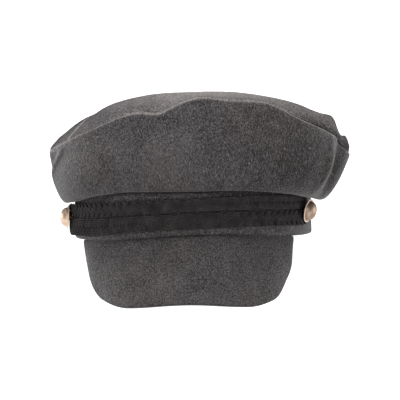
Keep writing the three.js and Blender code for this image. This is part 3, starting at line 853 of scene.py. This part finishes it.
def withPlainLining(lining, **levels):
    # the outer cloth's levels, with none of them on the lining
    plain = np.zeros(lining.shape[:2])
    return {name: np.concatenate([values, plain], 1) for name, values in levels.items()}


def faceNormalAt(face, angle, share):
    step = 0.01
    low, high = np.maximum(0, share - step), np.minimum(1, share + step)
    across = face(angle + 0.5, share) - face(angle - 0.5, share)
    along = face(angle, high) - face(angle, low)
    return unit(np.cross(across, along))


def rimMitre(angle):
    # inner end of the mitre between wall and top panel
    wallSide = faceNormalAt(wallFace, angle, np.full_like(angle, 0.99))
    topSide = faceNormalAt(topFace, angle, np.full_like(angle, 0.02))
    middle = unit(wallSide + topSide)
    stretch = np.minimum(crown["mitreLimit"], 1 / np.maximum(0.2, np.sum(middle * wallSide, -1)))
    return rimPoint(angle) - middle * (crown["wall"] * stretch)[..., None]


def makeWall(name, node, fromAngle, toAngle, sideWear, count):
    # the back wall is longer than the front one, but its closest sections stand as close
    longer = (toAngle - fromAngle) / (2 * crown["sideSeam"])
    inner = towardsEdge(count // 2, [edge * 2 / longer for edge in crown["sideEdge"]])
    shares = np.concatenate([(1 - inner[::-1]) / 2, (1 + inner[1:]) / 2])
    aside = math.degrees(crown["seamGap"] / (crown["width"] / 2))
    angles = (fromAngle + aside + (toAngle - fromAngle - 2 * aside) * shares)[:, None]
    rows = towardsEdge(crown["wallRows"], crown["rimEdge"])[None, :]
    angles, rows = np.broadcast_arrays(angles, rows)
    angles = swungAngle(angles, rows)
    face = wallFace(angles, rows)
    normals = gridNormals(face, False)
    # the rim, both sides and the band
    edges = ((1, True), (0, False), (0, True), (1, False))
    seams = [lengthFrom(face, axis, fromEnd) for axis, fromEnd in edges]
    wear = [wearAndHighlightAtRim(angles), *sideWear, 0]
    outer, nap = sewnCloth(face, normals, seams, wear, angles)
    lining = face - normals * crown["wall"]
    lining[:, 0] = bandPoint(angles[:, 0], band["height"] + seamGap, -crown["wall"])
    lining[:, -1] = rimMitre(angles[:, 0])
    sections = np.concatenate([outer, lining[:, ::-1]], 1)
    # painted shade and painted light at places on the wall
    pile = 0
    for at, wide, up, tall, tone, swings in wallPaintedShading:
        aside = np.mod(angles - at + swings * swingBack(rows) + 180, 360) - 180
        pile = pile + tone * bump(aside, wide) * bump(rows - up, tall)
    levels = withPlainLining(lining, nap=nap, pile=pile)
    piece = addPiece(name, sections, False, finishes["crown"], "wool", **levels)
    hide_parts(node)


def makeTop():
    angles = np.linspace(-180, 180, crown["topSections"], endpoint=False)[:, None]
    even = np.linspace(0, 1, crown["topRows"]) ** crown["topCrowding"]
    edges = crown["topEdge"]
    rows = np.concatenate([edges, even[even > edges[-1] * crown["edgeClear"]]])[None, :]
    angles, rows = np.broadcast_arrays(angles, rows)
    face = topFace(angles, rows)
    normals = gridNormals(face, True)
    normals[:, -1] = (0, 0, 1)
    outer, nap = sewnCloth(face, normals, [lengthFrom(face, 1, False)], [wearAndHighlightAtRim(angles)], angles)
    planX, planY = inPlan(face)
    crest, passed = besideFold(planX, planY, crestLine)
    fade = np.clip(1.4 * (1 - passed), 0, 1)
    nap = np.maximum(nap, crown["wearCrest"] * fade * bump(crest * crown["width"] / 2, crown["crestWidth"]))
    middleX, middleY, reach, level = topWearAndHighlight
    nap = np.maximum(nap, level * bump(np.hypot(planX - middleX, planY - middleY), reach))
    # painted shade and painted light at places on the top panel
    pile = sum(tone * bump(np.hypot(planX - x, planY - y), reach) for x, y, reach, tone in topPaintedShading)
    outer[:, -1] = outer[:, -1].mean(0)
    lining = face - normals * crown["wall"]
    lining[:, 0] = rimMitre(angles[:, 0])
    lining = lining[:, ::-3]
    sections = np.concatenate([outer, lining], 1)
    levels = withPlainLining(lining, nap=nap, pile=pile)
    piece = addPiece("crownTopCloth", sections, True, finishes["top"], "wool", **levels)
    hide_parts("crown_top")


# Visor: a stiff curved peak under the front of the band

visor = {
    "depth": 54,
    "wall": 2.8,
    "bulge": 2.2,
    "leftAngle": 62.4,
    "rightAngle": 57,
    "unevenness": 0.3,
    "unevenSize": 34,
    "edgeRound": 0.45,
    "edgeSeam": 0.2,
    "edgeSeamWide": 0.3,
    # painted light towards the visor's edge
    "edgePaintedLight": 0.3,
    "tongue": (0.38, 0.62),  # where it starts and ends in the visor's thickness
    "sections": 190,
    "endCrowding": 0.85,
    "rows": 44,
}

# From its left end (-1) to its right one (1): slope in degrees below level, and how far it
# reaches from the band as a share of its depth
visorColumns = ("at", "slope", "depth")
visorSections = [
    (-1, 86, 0.05),
    (-0.92, 84, 0.27),
    (-0.8, 80, 0.535),
    (-0.65, 76.5, 0.735),
    (-0.48, 70, 0.855),
    (-0.32, 65, 0.91),
    (0, 60, 0.932),
    (0.32, 64, 0.945),
    (0.48, 68, 0.91),
    (0.65, 73, 0.79),
    (0.8, 78, 0.57),
    (0.92, 81, 0.355),
    (1, 86, 0.05),
]


def makeVisor():
    even = np.linspace(-1, 1, visor["sections"])[:, None]
    at = np.sign(even) * np.abs(even) ** visor["endCrowding"]
    angle = at * np.where(at < 0, visor["leftAngle"], visor["rightAngle"])
    slope = np.radians(tableCurve(visorSections, visorColumns, "slope", at))
    depth = visor["depth"] * tableCurve(visorSections, visorColumns, "depth", at)
    outward = bandOutward(angle)
    down = np.array([0, 0, -1])
    along = outward * np.cos(slope)[..., None] + down * np.sin(slope)[..., None]
    normal = outward * np.sin(slope)[..., None] - down * np.cos(slope)[..., None]
    root = bandPoint(angle, bandFoot(angle) - seamGap)
    share = np.linspace(0, 1, visor["rows"])[None, :]
    bulge = visor["bulge"] * depth / visor["depth"] * np.sin(math.pi * share)
    top = root + along * (depth * share)[..., None] + normal * bulge[..., None]
    sway = wander(top, visor["unevenSize"], seed=7) * visor["unevenness"] * np.sin(math.pi * share / 2)
    top = top + normal * sway[..., None]
    under = top - normal * visor["wall"]
    under[:, :1] = root - outward * (visor["wall"] / np.sin(slope))[..., None]
    bend = np.linspace(0, math.pi, 10)[None, 1:-1]
    middle = (top[:, -1:] + under[:, -1:]) / 2
    groove = 1 - visor["edgeSeam"] * bump(bend - math.pi / 2, visor["edgeSeamWide"])
    nose = (middle + normal * (visor["wall"] / 2 * np.cos(bend))[..., None]
            + along * (visor["wall"] * visor["edgeRound"] * np.sin(bend) * groove)[..., None])
    # a tongue along its root is sewn up to the band, and keeps light out of the joint
    across = under[:, :1] - root
    tongue = [root + across * way + (0, 0, seamGap) for way in visor["tongue"]]
    points = np.concatenate([tongue[0], top, nose, under[:, ::-1], tongue[1]], 1)
    # painted light: the cloth is lighter towards the edge
    reach = np.minimum(1, lengthFrom(points, 1, False) / visor["depth"])
    pile = visor["edgePaintedLight"] * reach ** 2
    piece = addPiece("visorCloth", points, False, finishes["visor"], "wool", pressed=True, pile=pile)
    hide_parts("visor")


# Chin strap: a flat plait of fine cords, closed on itself, that runs twice across the front

strap = {
    "width": 11.8,
    "thickness": 2.2,
    "slit": 0.6,
    "eyeLength": 7,
    "leftStandOff": 2,
    "liftShare": 0.12,
    "leftAngle": 77.3,
    "rightAngle": 66,
    "endReach": 0.72,  # how far an end goes round its shank, as a share of a half circle's
    "leftDroop": -4,
    "rightDroop": 13,
    "shank": 2.2,
    "bundles": 3,
    "cordsInBundle": 4,
    "cordPitch": 1.16,
    "cordWidth": 1.02,
    "cordHeight": 1.1,
    "plaits": 26,  # full turns of the plait round the whole loop
    "layerHeight": 0.5,
    "layerSharpness": 1.5,
    "squareness": 0.12,  # how much a bundle's swing is flattened at the edges
    "cordSides": 8,
    "stepsInPlait": 24,
    "runSteps": 240,
    "turnSteps": 26,
}

# From the left button (0) to the right one (1): height of the line between the two runs as a
# share of the band's height, and the width of each run as a share of the strap's width
strapColumns = ("at", "middle", "upper", "lower")
strapStations = [
    (0, 0.44, 0.86, 1.08),
    (0.2, 0.47, 0.88, 1.1),
    (0.35, 0.53, 0.86, 1.0),
    (0.56, 0.59, 0.8, 0.98),
    (0.78, 0.59, 0.86, 0.97),
    (1, 0.545, 0.84, 0.98),
]


def strapCurve(name, at):
    return tableCurve(strapStations, strapColumns, name, at)


def bandPerDegree(angle):
    turn = np.radians(angle)
    return math.radians(1) * np.hypot(band["width"] / 2 * np.cos(turn), band["length"] / 2 * np.sin(turn))


def strapLift(at):
    return strap["leftStandOff"] * np.maximum(0, 1 - at / strap["liftShare"]) ** 2


def halfSlit(at, toShank):
    droop = np.radians(np.abs(np.where(at < 0.5, strap["leftDroop"], strap["rightDroop"])))
    eye = strap["shank"] / 2 + seamGap + (seamGap + strapLift(at) + strap["thickness"]) * np.tan(droop)
    return eye + (strap["slit"] / 2 - eye) * np.minimum(1, toShank / strap["eyeLength"])


def strapRun(at, side):
    # inner and outer edge of one run, as angle and height on the band
    angle = -strap["leftAngle"] + (strap["leftAngle"] + strap["rightAngle"]) * at
    middle = band["height"] * strapCurve("middle", at)
    width = strap["width"] * strapCurve("upper" if side > 0 else "lower", at)
    toShank = np.minimum(at, 1 - at) * (strap["leftAngle"] + strap["rightAngle"]) * bandPerDegree(angle)
    near = middle + side * halfSlit(at, toShank)
    return np.stack([angle, near, angle, middle + side * width, strapLift(at)], -1)


def strapTurn(end, turn):
    # the same where the strap turns round a button's shank, turn 0 below it and 1 above it
    angle = -strap["leftAngle"] if end < 0 else strap["rightAngle"]
    at = np.full_like(turn, 0.0 if end < 0 else 1.0)
    middle = band["height"] * strapCurve("middle", at)
    lower, upper = (strap["width"] * strapCurve(name, at) for name in ("lower", "upper"))
    bend = math.pi * turn
    eye = halfSlit(at, 0)
    edges = []
    for radius in (eye, lower + (upper - lower) * turn):
        reach = eye + (radius - eye) * strap["endReach"]
        edges += [angle + end * reach * np.sin(bend) / bandPerDegree(angle), middle - radius * np.cos(bend)]
    return np.stack([*edges, strapLift(at)], -1)


def strapLoop():
    # edges of the whole loop, and the length along its middle at each of them
    run = np.linspace(0, 1, strap["runSteps"])
    turn = np.linspace(0, 1, strap["turnSteps"])[1:-1]
    edges = np.concatenate([
        strapRun(run, -1),
        strapTurn(1, turn),
        strapRun(run[::-1], 1),
        strapTurn(-1, turn[::-1]),
    ])
    edges = np.concatenate([edges, edges[:1]])
    middle = bandPoint((edges[:, 0] + edges[:, 2]) / 2, (edges[:, 1] + edges[:, 3]) / 2, edges[:, 4])
    lengths = np.concatenate([[0], np.cumsum(np.linalg.norm(np.diff(middle, axis=0), axis=-1))])
    return edges, lengths


def makeStrap():
    edges, lengths = strapLoop()
    whole = lengths[-1]
    steps = strap["plaits"] * strap["stepsInPlait"]
    reach = 0.5 - strap["cordsInBundle"] * strap["cordPitch"] / 2 / strap["width"]
    turnAt = np.arange(steps) / steps * strap["plaits"] * math.tau
    place = turnAt / math.tau / strap["plaits"] * whole
    spin = np.linspace(0, math.tau, strap["cordSides"], endpoint=False)
    corners, faces, along, around = [], [], [], []
    for bundle in range(strap["bundles"]):
        # each bundle swings from edge to edge, over the next one and under the one after it
        phase = turnAt + math.tau * bundle / strap["bundles"]
        wave = np.sin(phase) + strap["squareness"] * np.sin(3 * phase)
        across = strap["width"] * reach * wave / (1 - strap["squareness"])
        slope = np.gradient(across, whole / steps)
        straight = np.hypot(1, slope)
        layer = strap["layerHeight"] * np.clip(np.sin(2 * phase) * strap["layerSharpness"], -1, 1)
        for cord in range(strap["cordsInBundle"]):
            # and its cords stay side by side, square to their own way
            aside = (cord - (strap["cordsInBundle"] - 1) / 2) * strap["cordPitch"]
            length = np.mod(place - aside * slope / straight, whole)
            share = 0.5 + (across + aside / straight) / strap["width"]
            row = np.stack([np.interp(length, lengths, column) for column in edges.T], -1)
            angle = row[:, 0] + (row[:, 2] - row[:, 0]) * share
            height = row[:, 1] + (row[:, 3] - row[:, 1]) * share
            off = seamGap + row[:, 4] + strap["thickness"] / 2 + layer
            centre = bandPoint(angle, height, off)
            outward = bandOutward(angle)
            ahead = unit(np.roll(centre, -1, 0) - np.roll(centre, 1, 0))
            side = unit(np.cross(ahead, outward))
            proud = np.cross(side, ahead)
            ring = (centre[:, None]
                    + side[:, None] * (strap["cordWidth"] / 2 * np.cos(spin))[None, :, None]
                    + proud[:, None] * (strap["cordHeight"] / 2 * np.sin(spin))[None, :, None])
            base = len(corners) * steps * strap["cordSides"]
            index = base + np.arange(steps * strap["cordSides"]).reshape(steps, strap["cordSides"])
            following = np.roll(index, -1, 0)
            quads = np.stack([index, np.roll(index, -1, 1), np.roll(following, -1, 1), following], -1)
            faces += quads.reshape(-1, 4).tolist()
            run = np.concatenate([[0], np.cumsum(np.linalg.norm(np.diff(centre, axis=0), axis=-1))])
            along.append(np.repeat(run[:, None], strap["cordSides"], 1).ravel())
            around.append(np.tile(spin / math.tau, steps))
            corners.append(toRow(ring).reshape(-1, 3))
    levels = {"along": np.concatenate(along), "around": np.concatenate(around)}
    corners = np.concatenate(corners)
    piece = finishPiece("chinStrapBraid", corners, faces, finishes["braid"], levels)
    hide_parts("chin_strap")


# Buttons that hold the strap's two ends

button = {
    "diameter": 17,
    "dome": 5.2,
    "rim": 0.9,
    "rimLip": 1.0,
    "seat": 0.8,  # height at which the dome starts, as a share of the rim's
    "centre": 0.01,  # radius at which the middle of the dome and of the foot are closed
    "fillet": 0.4,
    "sides": 96,
}


def buttonProfile(at, droop):
    # radius and height from the shank's foot to the top of the dome
    radius, rim, centre = button["diameter"] / 2, button["rim"], button["centre"]
    stack = strapLift(np.array(at)) + strap["thickness"] + seamGap
    tilt = math.radians(abs(droop))
    shank = (stack + radius * math.sin(tilt)) / math.cos(tilt)
    stem, fillet = strap["shank"] / 2, button["fillet"]
    profile = [(centre, 0), (stem * 0.8, 0), (stem, 0.2), (stem, shank - fillet), (stem + fillet, shank)]
    profile.append((radius - rim, shank))
    for bend in np.linspace(-math.pi / 2, math.pi / 2, 11):
        profile.append((radius - rim / 2 * (1 - math.cos(bend)), shank + rim / 2 * (1 + math.sin(bend))))
    inner = radius - rim / 2 - button["rimLip"]
    seat = shank + rim * button["seat"]
    rise = button["dome"] + rim * (1 - button["seat"])
    profile += [(inner + 0.35, shank + rim * 0.98), (inner + 0.1, shank + rim * 0.82)]
    for bend in np.linspace(0.06, 1, 26) * math.pi / 2:
        profile.append((max(centre, inner * math.cos(bend)), seat + rise * math.sin(bend)))
    return np.array(profile, float)


def makeButton(name, node, finish, angle, at, droop):
    profile = buttonProfile(at, droop)
    spin = np.linspace(0, math.tau, button["sides"], endpoint=False)
    outward = bandOutward(np.array(float(angle)))
    down = np.array([0, 0, -1])
    lean = math.radians(droop)
    axis = outward * math.cos(lean) + down * math.sin(lean)
    side = unit(np.cross(axis, down))
    other = np.cross(axis, side)
    foot = bandPoint(angle, band["height"] * float(strapCurve("middle", at)), seamGap)
    ring = side * np.cos(spin)[:, None] + other * np.sin(spin)[:, None]
    points = foot + axis * profile[None, :, 1, None] + ring[:, None] * profile[None, :, 0, None]
    count = len(profile)
    index = np.arange(len(spin) * count).reshape(len(spin), count)
    following = np.roll(index, -1, 0)
    quads = np.stack([index[:, :-1], following[:, :-1], following[:, 1:], index[:, 1:]], -1)
    faces = quads.reshape(-1, 4).tolist()
    faces.append(index[::-1, 0].tolist())
    faces.append(index[:, -1].tolist())
    # painted highlight on the button's rim
    rimHighlight = np.broadcast_to(profile[:, 0] > button["diameter"] / 2 - button["rimLip"], points.shape[:2])
    piece = finishPiece(name, toRow(points).reshape(-1, 3), faces, finishes[finish], {"rimHighlight": rimHighlight})
    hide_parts(node)


makeBand()
sides = (-crown["sideSeam"], crown["sideSeam"], 360 - crown["sideSeam"])
wear = (crown["wearLeft"], crown["wearRight"], crown["wearLeft"])
makeWall("crownFrontCloth", "crown_front", *sides[:2], wear[:2], crown["frontSections"])
makeWall("crownBackCloth", "crown_back", *sides[1:], wear[1:], crown["backSections"])
makeTop()
makeVisor()
makeStrap()
makeButton("buttonLeftGilt", "button_left", "leftGilt", -strap["leftAngle"], 0, strap["leftDroop"])
makeButton("buttonRightGilt", "button_right", "rightGilt", strap["rightAngle"], 1, strap["rightDroop"])
